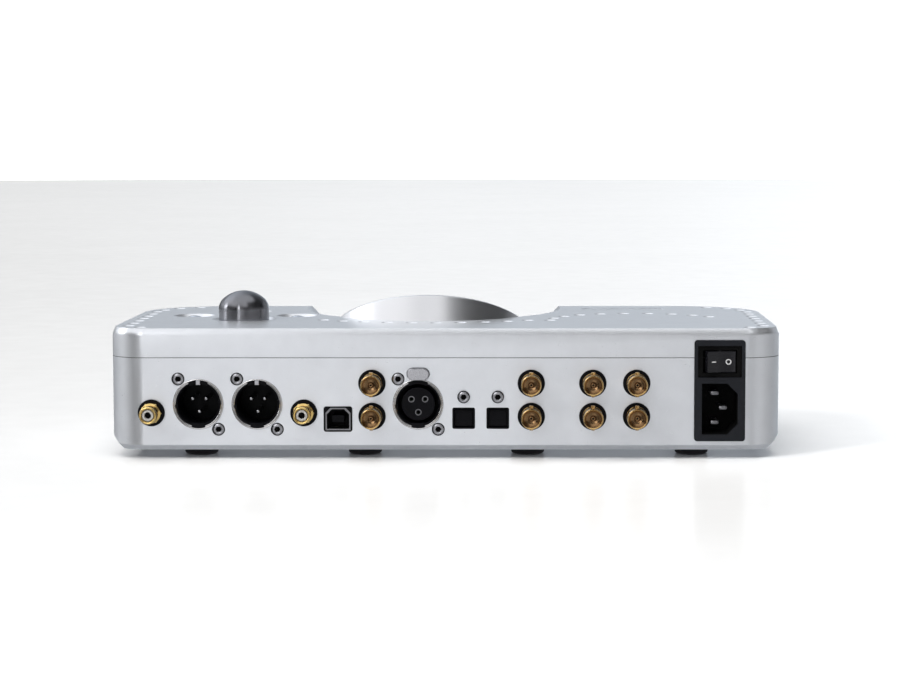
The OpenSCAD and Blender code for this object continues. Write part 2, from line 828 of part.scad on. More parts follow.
// The latch's round-ended bar, or with a gap the slot it slides in
module latch_bar(gap, y0, y1) {
    panel_block(xlr_female_x, latch_z, latch_w - latch_h, latch_h + 2 * gap, y0, y1);
    for (side = [-1, 1])
        rod_y(xlr_female_x + side * (latch_w - latch_h) / 2, latch_z, latch_h / 2 + gap, y0, y1);
}

module xlr_latch() color("silver") latch_bar(0, inner_rear_y - 6, rear_y + 2.2);

module xlr_screws() color("silver")
    for (x = concat(xlr_male_x, [xlr_female_x]))
        for (side = [1, -1])
            panel_screw(x + side * xlr_screw_dx, xlr_z + side * xlr_screw_dz, panel_head_r,
                panel_shank_r, rear_y + 0.3, rear_y - xlr_sink, inner_rear_y - xlr_flange_t);

// ---- Phono, USB and coaxial sockets ----

module phono_insulators() color("black")
    for (x = phono_x) {
        tube_y(x, phono_z, phono_washer_r, phono_neck_r, rear_y, rear_y + 1);
        tube_y(x, phono_z, phono_hole_r - 0.05, phono_neck_r, inner_rear_y, rear_y);
    }

module phono_bodies() color("gold")
    for (x = phono_x)
        difference() {
            union() {
                rod_y(x, phono_z, phono_neck_r, inner_rear_y - 9, rear_y + 2);
                translate([x, rear_y + 1, phono_z])
                    rotate([-90, 0, 0]) cylinder(h = phono_nut_t, r = 5.2, $fn = 6);
                rod_y(x, phono_z, phono_r, rear_y + 3, rear_y + socket_proud);
                translate([x, inner_rear_y - phono_nut_t, phono_z])
                    rotate([-90, 0, 0]) cylinder(h = phono_nut_t, r = 4.9, $fn = 6);
            }
            rod_y(x, phono_z, phono_bore_r, rear_y + 2.5, rear_y + socket_proud + 1);
        }

module usb_shell() color("silver")
    translate([usb_x, usb_back_y + 1, usb_z])
        rotate([-90, 0, 0])
            linear_extrude(rear_y - usb_back_y - 1)
                difference() {
                    polygon(usb_outline(usb_shell_hw, usb_shell_hh));
                    polygon(usb_outline(usb_shell_hw - usb_shell_t, usb_shell_hh - usb_shell_t));
                }

// USB type B outline with its two upper corners cut off; Y runs down
function usb_outline(hw, hh) =
    [[-hw, hh], [hw, hh], [hw, usb_corner - hh], [hw - usb_corner, -hh],
        [usb_corner - hw, -hh], [-hw, usb_corner - hh]];

module usb_insert() color("black") {
    difference() {
        soft_block(usb_x, usb_z, usb_w, usb_h, usb_round, usb_back_y, rear_y + 0.4);
        translate([usb_x, usb_back_y + 1, usb_z])
            rotate([-90, 0, 0]) linear_extrude(30) polygon(usb_outline(usb_shell_hw, usb_shell_hh));
    }
    panel_block(usb_x, usb_z, 5.6, 3.2, usb_back_y, rear_y - 1.5);
}

module bnc_insulators() color("black")
    for (x = bnc_x)
        for (z = bnc_z) tube_y(x, z, bnc_washer_r, bnc_r, inner_rear_y, rear_y + 0.6);

// Coaxial socket barrel with its two locking lugs
module bnc_bodies() color("goldenrod")
    for (x = bnc_x)
        for (z = bnc_z)
            difference() {
                union() {
                    rod_y(x, z, bnc_r, inner_rear_y - 4, rear_y + socket_proud);
                    for (side = [-1, 1])
                        translate([x, rear_y + 6.5, z])
                            rotate([0, side > 0 ? 0 : 180, 0]) cylinder(h = 5.9, r = 1);
                }
                rod_y(x, z, bnc_bore_r, rear_y + 1, rear_y + socket_proud + 1);
            }

// White dielectric and centre contact in each coaxial socket
module bnc_contacts() color("white")
    for (x = bnc_x)
        for (z = bnc_z)
            difference() {
                union() {
                    rod_y(x, z, bnc_bore_r, rear_y + 1, rear_y + 3);
                    rod_y(x, z, 2.3, rear_y + 2.5, rear_y + 9);
                }
                rod_y(x, z, 0.7, rear_y + 4, rear_y + 10);
            }

module bnc_housings() color("black")
    for (x = bnc_x)
        difference() {
            panel_block(x, (board_z + board_t + bnc_housing_top) / 2, bnc_housing_w,
                bnc_housing_top - board_z - board_t, inner_rear_y - 14, inner_rear_y);
            for (z = bnc_z) rod_y(x, z, bnc_r, inner_rear_y - 4, inner_rear_y + 1);
        }

// ---- Optical inputs ----

shutter_w = 8.2;
shutter_top_z = optical_z + 3.7;
shutter_y = rear_y - 1.4;

module optical_receivers() color("black")
    for (x = optical_x)
        difference() {
            union() {
                soft_block(x, optical_z, optical_w, optical_h, optical_round, inner_rear_y, rear_y);
                panel_block(x, optical_z + 4.1, optical_w, 18.4, inner_rear_y - 10, inner_rear_y);
            }
            panel_block(x, optical_z, 9, 8.8, inner_rear_y - 7, rear_y + 1);
            rod_y(x, optical_screw_z, panel_shank_r, inner_rear_y - 8, inner_rear_y + 1);
            translate([x - 5.2, shutter_y, shutter_top_z])
                rotate([0, 90, 0]) cylinder(h = 10.4, r = 0.65);
        }

// A thin door on a pin along its top edge
module optical_shutter(x)
    union() {
        translate([x - 5.1, shutter_y, shutter_top_z])
            rotate([0, 90, 0]) cylinder(h = 10.2, r = 0.6);
        panel_block(x, shutter_top_z - 3.8, shutter_w, 7.6, shutter_y - 0.4, shutter_y + 0.4);
    }

module optical_shutter_a() color("dimgray") optical_shutter(optical_x[0]);
module optical_shutter_b() color("dimgray") optical_shutter(optical_x[1]);

module optical_screws() color("silver")
    for (x = optical_x)
        panel_screw(x, optical_screw_z, panel_head_r - 0.05, panel_shank_r, rear_y + 1.4, rear_y,
            inner_rear_y - 6);

// ---- Mains inlet and switch ----

// Inlet mouth with the two corners cut off on the side of the earth blade
module inlet_mouth()
    polygon([
        [inlet_w / 2, -inlet_h / 2],
        [inlet_w / 2, inlet_h / 2],
        [inlet_cut - inlet_w / 2, inlet_h / 2],
        [-inlet_w / 2, inlet_h / 2 - inlet_cut],
        [-inlet_w / 2, inlet_cut - inlet_h / 2],
        [inlet_cut - inlet_w / 2, -inlet_h / 2]]);

module mains_inlet() color("black") {
    back_y = rear_y + bezel_proud - mains_depth;
    face_y = rear_y + bezel_proud;
    difference() {
        union() {
            soft_block(mains_x, mains_z, bezel_w, bezel_h, bezel_round, rear_y, face_y);
            panel_block(mains_x, mains_z, mains_body_w, mains_body_h, back_y, rear_y);
        }
        translate([mains_x, face_y + 1, inlet_z])
            rotate([90, 0, 0]) linear_extrude(inlet_depth + 1) inlet_mouth();
        for (b = blade_sites) blade(b, 0);
        panel_block(mains_x, rocker_z, 20.8, 15.1, face_y - 0.8, face_y + 1);
        panel_block(mains_x, rocker_z, 2 * rocker_r + 0.7, rocker_h + 0.8, rear_y - 10, face_y + 1);
        translate([mains_x, rocker_pivot_y, rocker_z - rocker_h / 2 - 1.5])
            cylinder(h = rocker_h + 3, r = rocker_pin_r + 0.05);
    }
}

blade_sites = [
    [mains_x + blade_shift, inlet_z + blade_spread],
    [mains_x + blade_shift, inlet_z - blade_spread],
    [mains_x - blade_shift, inlet_z]
];

// One inlet blade, from the back of the mouth forward
module blade(site, proud)
    panel_block(site[0], site[1], 4, 2, rear_y - inlet_depth - 4, rear_y - inlet_depth + 2 + proud);

module inlet_blades() color("silver")
    for (b = blade_sites) blade(b, 10);

// Two-way rocker on an upright pin, its +X end out in the off position
module power_rocker() color("black")
    translate([mains_x, rocker_pivot_y, rocker_z])
        rotate([0, 0, rocker_swing])
            union() {
                translate([0, 0, -rocker_h / 2])
                    linear_extrude(rocker_h)
                        intersection() {
                            circle(rocker_r);
                            polygon([[-rocker_half, -4.5], [rocker_half, -4.5],
                                [rocker_half, rocker_rise],
                                [0, rocker_rise - rocker_half * tan(rocker_swing)],
                                [-rocker_half, rocker_rise]]);
                        }
                translate([0, 0, -rocker_h / 2 - 1.2])
                    cylinder(h = rocker_h + 2.4, r = rocker_pin_r);
            }

// ---- Headphone sockets ----

module jack_sockets() color("black")
    for (x = jack_x)
        difference() {
            union() {
                panel_block(x, jack_z, jack_w, jack_h, inner_front_y, inner_front_y + jack_depth);
                rod_y(x, jack_z, jack_neck_r, front_y - nut_proud + 0.2, inner_front_y + 1);
            }
            rod_y(x, jack_z, jack_r, front_y - nut_proud - 1, inner_front_y + jack_depth - 2);
        }

module jack_nuts() color("silver")
    for (x = jack_x)
        difference() {
            union() {
                rod_y(x, jack_z, 7.2, front_y - 1.2, front_y);
                rod_y(x, jack_z, 6.4, front_y - nut_proud, front_y - 1.2);
            }
            rod_y(x, jack_z, jack_neck_r + 0.05, front_y - nut_proud - 1, front_y + 1);
        }

lower_casing();
upper_casing();
casing_screws();
rubber_feet();
foot_screws();
display_barrel();
display_window();
display_ring();
display_seal();
display_panel();
display_board();
display_ribbon();
control_board();
volume_encoder();
encoder_shaft();
volume_knob();
button_outer();
button_inner();
button_front();
button_switches();
main_board();
power_board();
headphone_board();
board_spacers();
board_screws();
processor_chip();
processor_heat_sink();
board_chips();
filter_capacitors();
output_transistors();
output_heat_sink();
power_transformer();
power_capacitors();
mains_wiring();
xlr_male_shells();
xlr_male_inserts();
xlr_male_pins();
xlr_female_shell();
xlr_female_insert();
xlr_latch();
xlr_screws();
phono_bodies();
phono_insulators();
usb_shell();
usb_insert();
bnc_bodies();
bnc_insulators();
bnc_contacts();
bnc_housings();
optical_receivers();
optical_shutter_a();
optical_shutter_b();
optical_screws();
mains_inlet();
inlet_blades();
power_rocker();
jack_sockets();
jack_nuts();
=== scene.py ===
"""Looks for the desktop headphone amplifier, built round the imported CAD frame.

Every visible CAD node is remade with broken edges and a procedural finish, and
details too fine for the CAD are added as pieces of their own. Lengths are in metres.
"""

import math

import bmesh
import bpy
from mathutils import Matrix, Vector


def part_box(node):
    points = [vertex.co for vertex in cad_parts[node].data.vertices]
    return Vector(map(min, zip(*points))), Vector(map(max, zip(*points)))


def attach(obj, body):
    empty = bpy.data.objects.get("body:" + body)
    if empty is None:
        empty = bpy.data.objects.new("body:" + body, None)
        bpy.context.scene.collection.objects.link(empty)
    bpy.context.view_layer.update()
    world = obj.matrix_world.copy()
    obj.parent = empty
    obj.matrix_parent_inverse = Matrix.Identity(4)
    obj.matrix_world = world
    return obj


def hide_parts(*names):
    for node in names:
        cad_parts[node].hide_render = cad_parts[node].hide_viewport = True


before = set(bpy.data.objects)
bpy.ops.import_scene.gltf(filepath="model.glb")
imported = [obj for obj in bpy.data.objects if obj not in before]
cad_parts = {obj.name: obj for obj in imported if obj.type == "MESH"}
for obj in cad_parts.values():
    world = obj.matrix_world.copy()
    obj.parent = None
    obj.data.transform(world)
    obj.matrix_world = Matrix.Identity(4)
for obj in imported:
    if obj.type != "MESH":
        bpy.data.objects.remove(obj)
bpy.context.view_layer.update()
MM = 0.001
SCENE = bpy.context.scene


# ---- Places, all read from the frame ----


def solids(node):
    """The box of each solid of a CAD node, as (low, high) corners by x and then z."""
    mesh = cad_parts[node].data
    keys = [tuple(round(c, 6) for c in v.co) for v in mesh.vertices]
    parent = {k: k for k in keys}

    def root(k):
        while parent[k] != k:
            parent[k] = parent[parent[k]]
            k = parent[k]
        return k

    for p in mesh.polygons:
        first = root(keys[p.vertices[0]])
        for i in p.vertices[1:]:
            parent[root(keys[i])] = first
    groups = {}
    for k in parent:
        groups.setdefault(root(k), []).append(k)
    found = []
    for points in groups.values():
        low = Vector(min(p[i] for p in points) for i in range(3))
        high = Vector(max(p[i] for p in points) for i in range(3))
        found.append((low, high))
    return sorted(found, key=lambda b: (round(b[0].x, 4), round(b[0].z, 4)))


def middle(box):
    """The centre of a (low, high) box."""
    return (box[0] + box[1]) / 2


REAR_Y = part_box("lower_casing")[1].y
FRONT_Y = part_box("lower_casing")[0].y
TOP_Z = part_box("upper_casing")[1].z
SEAM_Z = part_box("lower_casing")[1].z
KNOB = middle(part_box("volume_knob"))


# ---- Finishes ----


def mix_value(nodes, links, factor, low, high):
    """A value from low to high as factor goes from 0 to 1."""
    node = nodes.new("ShaderNodeMapRange")
    node.inputs["To Min"].default_value = low
    node.inputs["To Max"].default_value = high
    links.new(factor, node.inputs["Value"])
    return node.outputs["Result"]


def noise(nodes, links, vector, scale, detail):
    """A cloudy value from 0 to 1 over a vector."""
    node = nodes.new("ShaderNodeTexNoise")
    node.inputs["Scale"].default_value = scale
    node.inputs["Detail"].default_value = detail
    node.inputs["Roughness"].default_value = 0.55
    links.new(vector, node.inputs["Vector"])
    return node.outputs["Fac"]


def lathe_space(nodes, links, place, centre, axis):
    """((along axis, radius, 0), tangent) for marks left by turning about an axis."""
    offset = nodes.new("ShaderNodeVectorMath")
    offset.operation = "SUBTRACT"
    offset.inputs[1].default_value = centre
    links.new(place, offset.inputs[0])
    along = nodes.new("ShaderNodeVectorMath")
    along.operation = "DOT_PRODUCT"
    along.inputs[1].default_value = axis
    links.new(offset.outputs["Vector"], along.inputs[0])
    cross = nodes.new("ShaderNodeVectorMath")
    cross.operation = "CROSS_PRODUCT"
    cross.inputs[0].default_value = axis
    links.new(offset.outputs["Vector"], cross.inputs[1])
    radius = nodes.new("ShaderNodeVectorMath")
    radius.operation = "LENGTH"
    links.new(cross.outputs["Vector"], radius.inputs[0])
    joined = nodes.new("ShaderNodeCombineXYZ")
    links.new(along.outputs["Value"], joined.inputs["X"])
    links.new(radius.outputs["Value"], joined.inputs["Y"])
    tangent = nodes.new("ShaderNodeVectorMath")
    tangent.operation = "NORMALIZE"
    links.new(cross.outputs["Vector"], tangent.inputs[0])
    return joined.outputs["Vector"], tangent.outputs["Vector"]


FINE_SHARE = 0.6  # of the grain; the rest is coarser patches
PATCH_SCALE = 0.11  # of the grain's own scale
ACROSS = 0.25  # turns the anisotropic streak from along the tangent to across it


def finish_of(
    name,
    colour,
    metal=0.0,
    rough=0.4,
    rough_spread=0.06,
    tint=0.06,
    tint_scale=70.0,
    grain=2500.0,
    grain_depth=0.01 * MM,
    lathe=None,
    lathe_lines=9000.0,
    anisotropy=0.0,
    coat=0.0,
    specular=0.5,
):
    """A procedural material: clouded colour, uneven gloss and a fine surface grain.

    Scales are noise cycles per metre. With lathe, a (centre, axis) pair, the grain
    becomes the rings left by turning, and highlights stretch across them.
    """
    material = bpy.data.materials.new(name)
    material.use_nodes = True
    nodes, links = material.node_tree.nodes, material.node_tree.links
    shader = nodes["Principled BSDF"]
    shader.inputs["Metallic"].default_value = metal
    shader.inputs["Coat Weight"].default_value = coat
    shader.inputs["Coat Roughness"].default_value = 0.08
    shader.inputs["Specular IOR Level"].default_value = specular
    shader.inputs["Anisotropic"].default_value = anisotropy
    place = nodes.new("ShaderNodeTexCoord").outputs["Object"]
    cloud = noise(nodes, links, place, tint_scale, 4.0)
    ramp = nodes.new("ShaderNodeMix")
    ramp.data_type = "RGBA"
    ramp.inputs["A"].default_value = [c * (1 - tint) for c in colour] + [1]
    ramp.inputs["B"].default_value = [min(1.0, c * (1 + tint)) for c in colour] + [1]
    links.new(cloud, ramp.inputs["Factor"])
    links.new(ramp.outputs["Result"], shader.inputs["Base Color"])
    marks = place
    scale = grain
    if lathe:
        marks, tangent = lathe_space(nodes, links, place, *lathe)
        scale = lathe_lines
        links.new(tangent, shader.inputs["Tangent"])
        shader.inputs["Anisotropic Rotation"].default_value = ACROSS
    fine = noise(nodes, links, marks, scale, 2.0)
    patches = noise(nodes, links, marks, scale * PATCH_SCALE, 3.0)
    weighed = nodes.new("ShaderNodeMath")
    weighed.operation = "MULTIPLY"
    weighed.inputs[1].default_value = 1 - FINE_SHARE
    links.new(patches, weighed.inputs[0])
    both = nodes.new("ShaderNodeMath")
    both.operation = "MULTIPLY_ADD"
    both.inputs[1].default_value = FINE_SHARE
    links.new(fine, both.inputs[0])
    links.new(weighed.outputs[0], both.inputs[2])
    low, high = max(0.02, rough - rough_spread), rough + rough_spread
    links.new(mix_value(nodes, links, both.outputs[0], low, high), shader.inputs["Roughness"])
    bump = nodes.new("ShaderNodeBump")
    bump.inputs["Strength"].default_value = 0.6
    bump.inputs["Distance"].default_value = grain_depth
    links.new(both.outputs[0], bump.inputs["Height"])
    links.new(bump.outputs["Normal"], shader.inputs["Normal"])
    return material


BARREL_LEAN = math.radians(30)
BARREL_AXIS = Vector((0, -math.sin(BARREL_LEAN), math.cos(BARREL_LEAN)))
BARREL = middle(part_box("display_window"))
UP = (0, 0, 1)

# Each finish: name, colour, metal, roughness and its spread, tint and its scale, then
# the grain's scale and depth.
M = {
    "casing": finish_of(
        "satin_aluminium", (0.78, 0.80, 0.83), 0.80, 0.31, 0.10, 0.06, 90, 2600, 0.010 * MM
    ),
    "barrel": finish_of(
        "turned_aluminium", (0.83, 0.83, 0.84), 1, 0.30, 0.10, 0.03, 40,
        lathe=(BARREL, BARREL_AXIS), lathe_lines=2600, anisotropy=0.5, grain_depth=0.008 * MM
    ),
    "knob": finish_of(
        "dark_chrome", (0.24, 0.24, 0.255), 1, 0.20, 0.03, 0.04, 60,
        lathe=(KNOB, UP), lathe_lines=3600, anisotropy=0.96, grain_depth=0.001 * MM
    ),
    "ball": finish_of("polished_ball", (0.80, 0.82, 0.86), 1, 0.12, 0.03, 0.03, grain=900,
                      grain_depth=0.002 * MM),
    "nickel": finish_of("nickel_plate", (0.74, 0.73, 0.72), 1, 0.22, 0.07, 0.05, 120, 3000,
                        0.004 * MM),
    "steel": finish_of("zinc_steel", (0.50, 0.50, 0.52), 1, 0.28, 0.08, 0.06, 200, 4000,
                       0.005 * MM),
    "gold": finish_of("gold_plate", (1.0, 0.70, 0.27), 1, 0.16, 0.06, 0.06, 160, 3500,
                      0.004 * MM),
    "old_gold": finish_of("aged_gold", (0.72, 0.48, 0.20), 1, 0.20, 0.08, 0.14, 260, 3500,
                          0.006 * MM),
    "bronze": finish_of("bronze_sleeve", (0.32, 0.19, 0.09), 1, 0.26, 0.10, 0.2, 300, 3500,
                        0.008 * MM),
    "brass": finish_of("brass_spacer", (0.72, 0.52, 0.24), 1, 0.3, 0.08, 0.08, 200, 3000,
                       0.006 * MM),
    "glass": finish_of("smoked_glass", (0.012, 0.014, 0.017), 0, 0.06, 0.02, 0.2, 60, 900,
                       0.001 * MM, coat=0.5),
    "screen": finish_of("display_film", (0.004, 0.006, 0.012), 0, 0.25, 0.04, 0.2, 60, 2500,
                        0.002 * MM),
    "board": finish_of("circuit_board", (0.015, 0.10, 0.045), 0, 0.36, 0.08, 0.45, 420, 1400,
                       0.03 * MM),
    "sleeve": finish_of("capacitor_sleeve", (0.02, 0.03, 0.11), 0, 0.3, 0.06, 0.15, 200, 2200,
                        0.01 * MM),
    "lacquer": finish_of("transformer_lacquer", (0.30, 0.16, 0.04), 0.2, 0.4, 0.1, 0.3, 260, 1500,
                         0.05 * MM),
    "wire": finish_of("wire_sleeve", (0.20, 0.07, 0.03), 0, 0.45, 0.08, 0.15, 300, 2600,
                      0.01 * MM),
    "pin": finish_of("silver_pin", (0.62, 0.62, 0.64), 1, 0.16, 0.05, 0.04, 300, 4000,
                     0.003 * MM),
    "dull_steel": finish_of("dull_steel", (0.30, 0.30, 0.31), 1, 0.36, 0.08, 0.1, 260, 4000,
                            0.005 * MM),
    "bezel": finish_of("bezel_black", (0.009, 0.010, 0.013), 0, 0.36, 0.07, 0.2, 200, 4200,
                       0.010 * MM, specular=0.2),
    "black": finish_of("moulded_black", (0.003, 0.003, 0.004), 0, 0.38, 0.09, 0.3, 250, 5200,
                       0.012 * MM, specular=0.09),
    "gloss_black": finish_of("gloss_black", (0.008, 0.008, 0.010), 0, 0.24, 0.05, 0.3, 200, 3000,
                             0.006 * MM, specular=0.4),
    # Near-black used as painted shade in the seam groove, holes and recesses.
    "painted_shade": finish_of("painted_recess_shade", (0.003, 0.003, 0.003), 0, 0.7, 0.1, 0.3, 300, 3000,
                      0.006 * MM, specular=0.1),
    "rubber": finish_of("rubber", (0.014, 0.014, 0.015), 0, 0.82, 0.08, 0.35, 300, 1800,
                        0.03 * MM, specular=0.3),
    "black_steel": finish_of("blacked_steel", (0.05, 0.05, 0.052), 1, 0.36, 0.08, 0.2, 250, 3000,
                             0.006 * MM),
    "white": finish_of("white_plastic", (0.42, 0.41, 0.39), 0, 0.35, 0.06, 0.05, 220, 3000,
                       0.006 * MM),
    "mark": finish_of("white_ink", (0.52, 0.52, 0.52), 0, 0.5, 0.06, 0.08, 400, 5000,
                      0.004 * MM),
}


# ---- Meshes ----


SHARP = math.radians(32)  # an edge that turns by more is drawn hard
BROKEN = math.radians(25)  # a CAD edge that turns by more gets a bevel
FLAT = math.radians(0.4)  # CAD facets that turn by less become one face
WELD = 0.002 * MM  # CAD points closer than this become one
TINY = 1e-6


def shade(bm):
    """Smooth faces with hard edges."""
    for face in bm.faces:
        face.smooth = True
    for edge in bm.edges:
        edge.smooth = len(edge.link_faces) == 2 and edge.calc_face_angle(0) < SHARP


def add_piece(name, bm, material, body, replaced=()):
    """Puts a finished mesh in the scene, riding on a body and standing for CAD nodes."""
    shade(bm)
    mesh = bpy.data.meshes.new(name)
    bm.to_mesh(mesh)
    bm.free()
    piece = bpy.data.objects.new(name, mesh)
    SCENE.collection.objects.link(piece)
    for m in material if isinstance(material, (list, tuple)) else [material]:
        mesh.materials.append(m)
    weighted = piece.modifiers.new("weighted", "WEIGHTED_NORMAL")
    weighted.keep_sharp = True
    weighted.weight = 80
    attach(piece, body)
    if replaced:
        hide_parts(*replaced)
    return piece


def machined(node, material, width, body="chassis"):
    """The CAD node remade with every hard edge broken by a small round bevel."""
    bm = bmesh.new()
    bm.from_mesh(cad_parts[node].data)
    bmesh.ops.remove_doubles(bm, verts=bm.verts, dist=WELD)
    bmesh.ops.dissolve_limit(bm, angle_limit=FLAT, verts=bm.verts, edges=bm.edges)
    hard = [e for e in bm.edges if len(e.link_faces) == 2 and e.calc_face_angle(0) > BROKEN]
    bmesh.ops.bevel(
        bm, geom=hard, offset=width, offset_type="OFFSET", segments=2, profile=0.6,
        affect="EDGES", clamp_overlap=True,
    )
    return add_piece(node + "_finished", bm, material, body, (node,))


def facing_rear(x, y, z):
    """A place on the rear panel whose local Z points out of it and local Y up."""
    turn = Matrix(((-1, 0, 0, 0), (0, 0, 1, 0), (0, 1, 0, 0), (0, 0, 0, 1)))
    return Matrix.Translation((x, y, z)) @ turn


def turned(bm, place, profile, steps=72, inner=()):
    """A ring or solid turned about local Z from a closed line of (radius, height), in mm.

    A third number in a point gives it that many sides instead of a round. Faces
    between the points listed in inner take the second material.
    """
    rings = []
    for radius, height, *sides in profile:
        if radius < TINY:
            rings.append([bm.verts.new(place @ Vector((0, 0, height * MM)))])
            continue
        ring = []
        for i in range(steps):
            a = 2 * math.pi * i / steps
            r = radius
            if sides:
                sector = 2 * math.pi / sides[0]
                r = radius * math.cos(sector / 2) / math.cos(a % sector - sector / 2)
            spot = Vector((r * math.cos(a), r * math.sin(a), height)) * MM
            ring.append(bm.verts.new(place @ spot))
        rings.append(ring)
    made = []
    for k, (first, second) in enumerate(zip(rings, rings[1:] + rings[:1])):
        for i in range(steps):
            j = (i + 1) % steps
            loop = [first[i % len(first)], first[j % len(first)]]
            loop += [second[j % len(second)], second[i % len(second)]]
            unique = list(dict.fromkeys(loop))
            if len(unique) > 2:
                face = bm.faces.new(unique)
                face.material_index = 1 if k in inner else 0
                made.append(face)
    bmesh.ops.recalc_face_normals(bm, faces=made)


def eased(points, radius, bends=3):
    """A closed line of (radius, height) with each corner rounded off; the axis is left."""
    line = []
    count = len(points)
    for i, point in enumerate(points):
        here = Vector(point[:2])
        sides = tuple(point[2:])
        if here.x < TINY:
            line.append(point)
            continue
        arms = [Vector(points[(i + d) % count][:2]) - here for d in (-1, 1)]
        cut = min([radius] + [0.45 * arm.length for arm in arms])
        ends = [here + arm.normalized() * cut for arm in arms]
        for k in range(bends + 1):
            t = k / bends
            spot = ends[0] * (1 - t) ** 2 + here * 2 * t * (1 - t) + ends[1] * t * t
            line.append((spot.x, spot.y) + sides)
    return line


def arc_block(bm, place, r0, r1, middle_angle, half_angle, h0, h1, steps=10):
    """A block between two radii round local Z; angles in degrees, lengths in mm."""
    loops = []
    for height in (h0, h1):
        loop = []
        for radius, order in ((r0, range(steps + 1)), (r1, reversed(range(steps + 1)))):
            for i in order:
                a = math.radians(middle_angle + half_angle * (2 * i / steps - 1))
                spot = Vector((radius * math.cos(a), radius * math.sin(a), height)) * MM
                loop.append(bm.verts.new(place @ spot))
        loops.append(loop)
    made = [bm.faces.new(loops[0]), bm.faces.new(loops[1])]
    for i in range(len(loops[0])):
        j = (i + 1) % len(loops[0])
        made.append(bm.faces.new((loops[0][i], loops[0][j], loops[1][j], loops[1][i])))
    bmesh.ops.recalc_face_normals(bm, faces=made)


def slab(bm, place, width, height, h0, h1, radius=0.0, bevel=0.0, at=(0, 0), steps=5):
    """A flat block with rounded corners, from h0 up to h1 along local Z, in mm."""
    loops = []
    rows = [(h0, 0.0), (h1 - bevel, 0.0), (h1, bevel)] if bevel else [(h0, 0.0), (h1, 0.0)]
    for level, inset in rows:
        loop = []
        for k, (sx, sy) in enumerate(((1, 1), (-1, 1), (-1, -1), (1, -1))):
            r = max(radius - inset, 0.01)
            cx = at[0] + sx * (width / 2 - inset - r)
            cy = at[1] + sy * (height / 2 - inset - r)
            for i in range(steps + 1):
                a = math.pi / 2 * (k + i / steps)
                spot = Vector((cx + r * math.cos(a), cy + r * math.sin(a), level)) * MM
                loop.append(bm.verts.new(place @ spot))
        loops.append(loop)
    made = [bm.faces.new(loops[0]), bm.faces.new(loops[-1])]
    for low, high in zip(loops, loops[1:]):
        for i in range(len(low)):
            j = (i + 1) % len(low)
            made.append(bm.faces.new((low[i], low[j], high[j], high[i])))
    bmesh.ops.recalc_face_normals(bm, faces=made)


def rear_site(solid):
    """The place on the rear panel in line with one solid."""
    centre = middle(solid)
    return facing_rear(centre.x, REAR_Y, centre.z)


def rear_sites(node):
    """The places on the rear panel of each solid of a CAD node."""
    return [rear_site(solid) for solid in solids(node)]


def reach(solid):
    """How far out of the rear panel a solid starts and ends, in mm."""
    low, high = solid
    return (low.y - REAR_Y) / MM, (high.y - REAR_Y) / MM


# ---- Casing, display and controls ----

machined("lower_casing", M["casing"], 0.25 * MM)
machined("upper_casing", M["casing"], 0.25 * MM)
machined("display_barrel", M["barrel"], 0.2 * MM)
machined("display_ring", M["black_steel"], 0.15 * MM)
machined("display_window", M["glass"], 0.2 * MM)
machined("display_panel", M["screen"], 0.15 * MM)
for side in ("outer", "inner", "front"):
    machined("button_" + side, M["ball"], 0.1 * MM, "button_" + side)
machined("rubber_feet", M["rubber"], 0.3 * MM)
machined("casing_screws", M["black_steel"], 0.15 * MM)
machined("foot_screws", M["black_steel"], 0.12 * MM)


def volume_knob():
    """The knob turned as one fine profile: straight side, tight knuckle, flatter crown."""
    low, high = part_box("volume_knob")
    shaft_top = (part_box("encoder_shaft")[1].z - low.z) / MM
    radius = (high.x - low.x) / 2 / MM
    tall = (high.z - low.z) / MM
    bore, wall, hollow, foot_bevel = 3.02, 3.0, 1.6, 0.4
    crown, knuckle = 9.4, 7.4  # the height above the straight side, the tight bend's radius
    side = tall - crown
    # The flatter top is an arc of radius big that runs smoothly into the knuckle.
    big = ((radius - knuckle) ** 2 + crown**2 - knuckle**2) / (2 * (crown - knuckle))
    lean = math.atan((radius - knuckle) / (big - crown))
    line = [(0, shaft_top), (bore, shaft_top), (bore, hollow), (radius - wall, hollow)]
    line += [(radius - wall, 0), (radius - foot_bevel, 0), (radius, foot_bevel)]
    line += [(radius, 3 * foot_bevel), (radius, side)]
    bends = 14
    for i in range(1, bends + 1):
        a = (math.pi / 2 - lean) * i / bends
        line.append((radius - knuckle + knuckle * math.cos(a), side + knuckle * math.sin(a)))
    bends = 15
    for i in range(1, bends + 1):
        a = lean * (1 - i / bends)
        line.append((big * math.sin(a), tall - big + big * math.cos(a)))
    bm = bmesh.new()
    turned(bm, Matrix.Translation((KNOB.x, KNOB.y, low.z)), line, 128)
    add_piece("volume_knob_finished", bm, M["knob"], "knob", ("volume_knob",))


volume_knob()


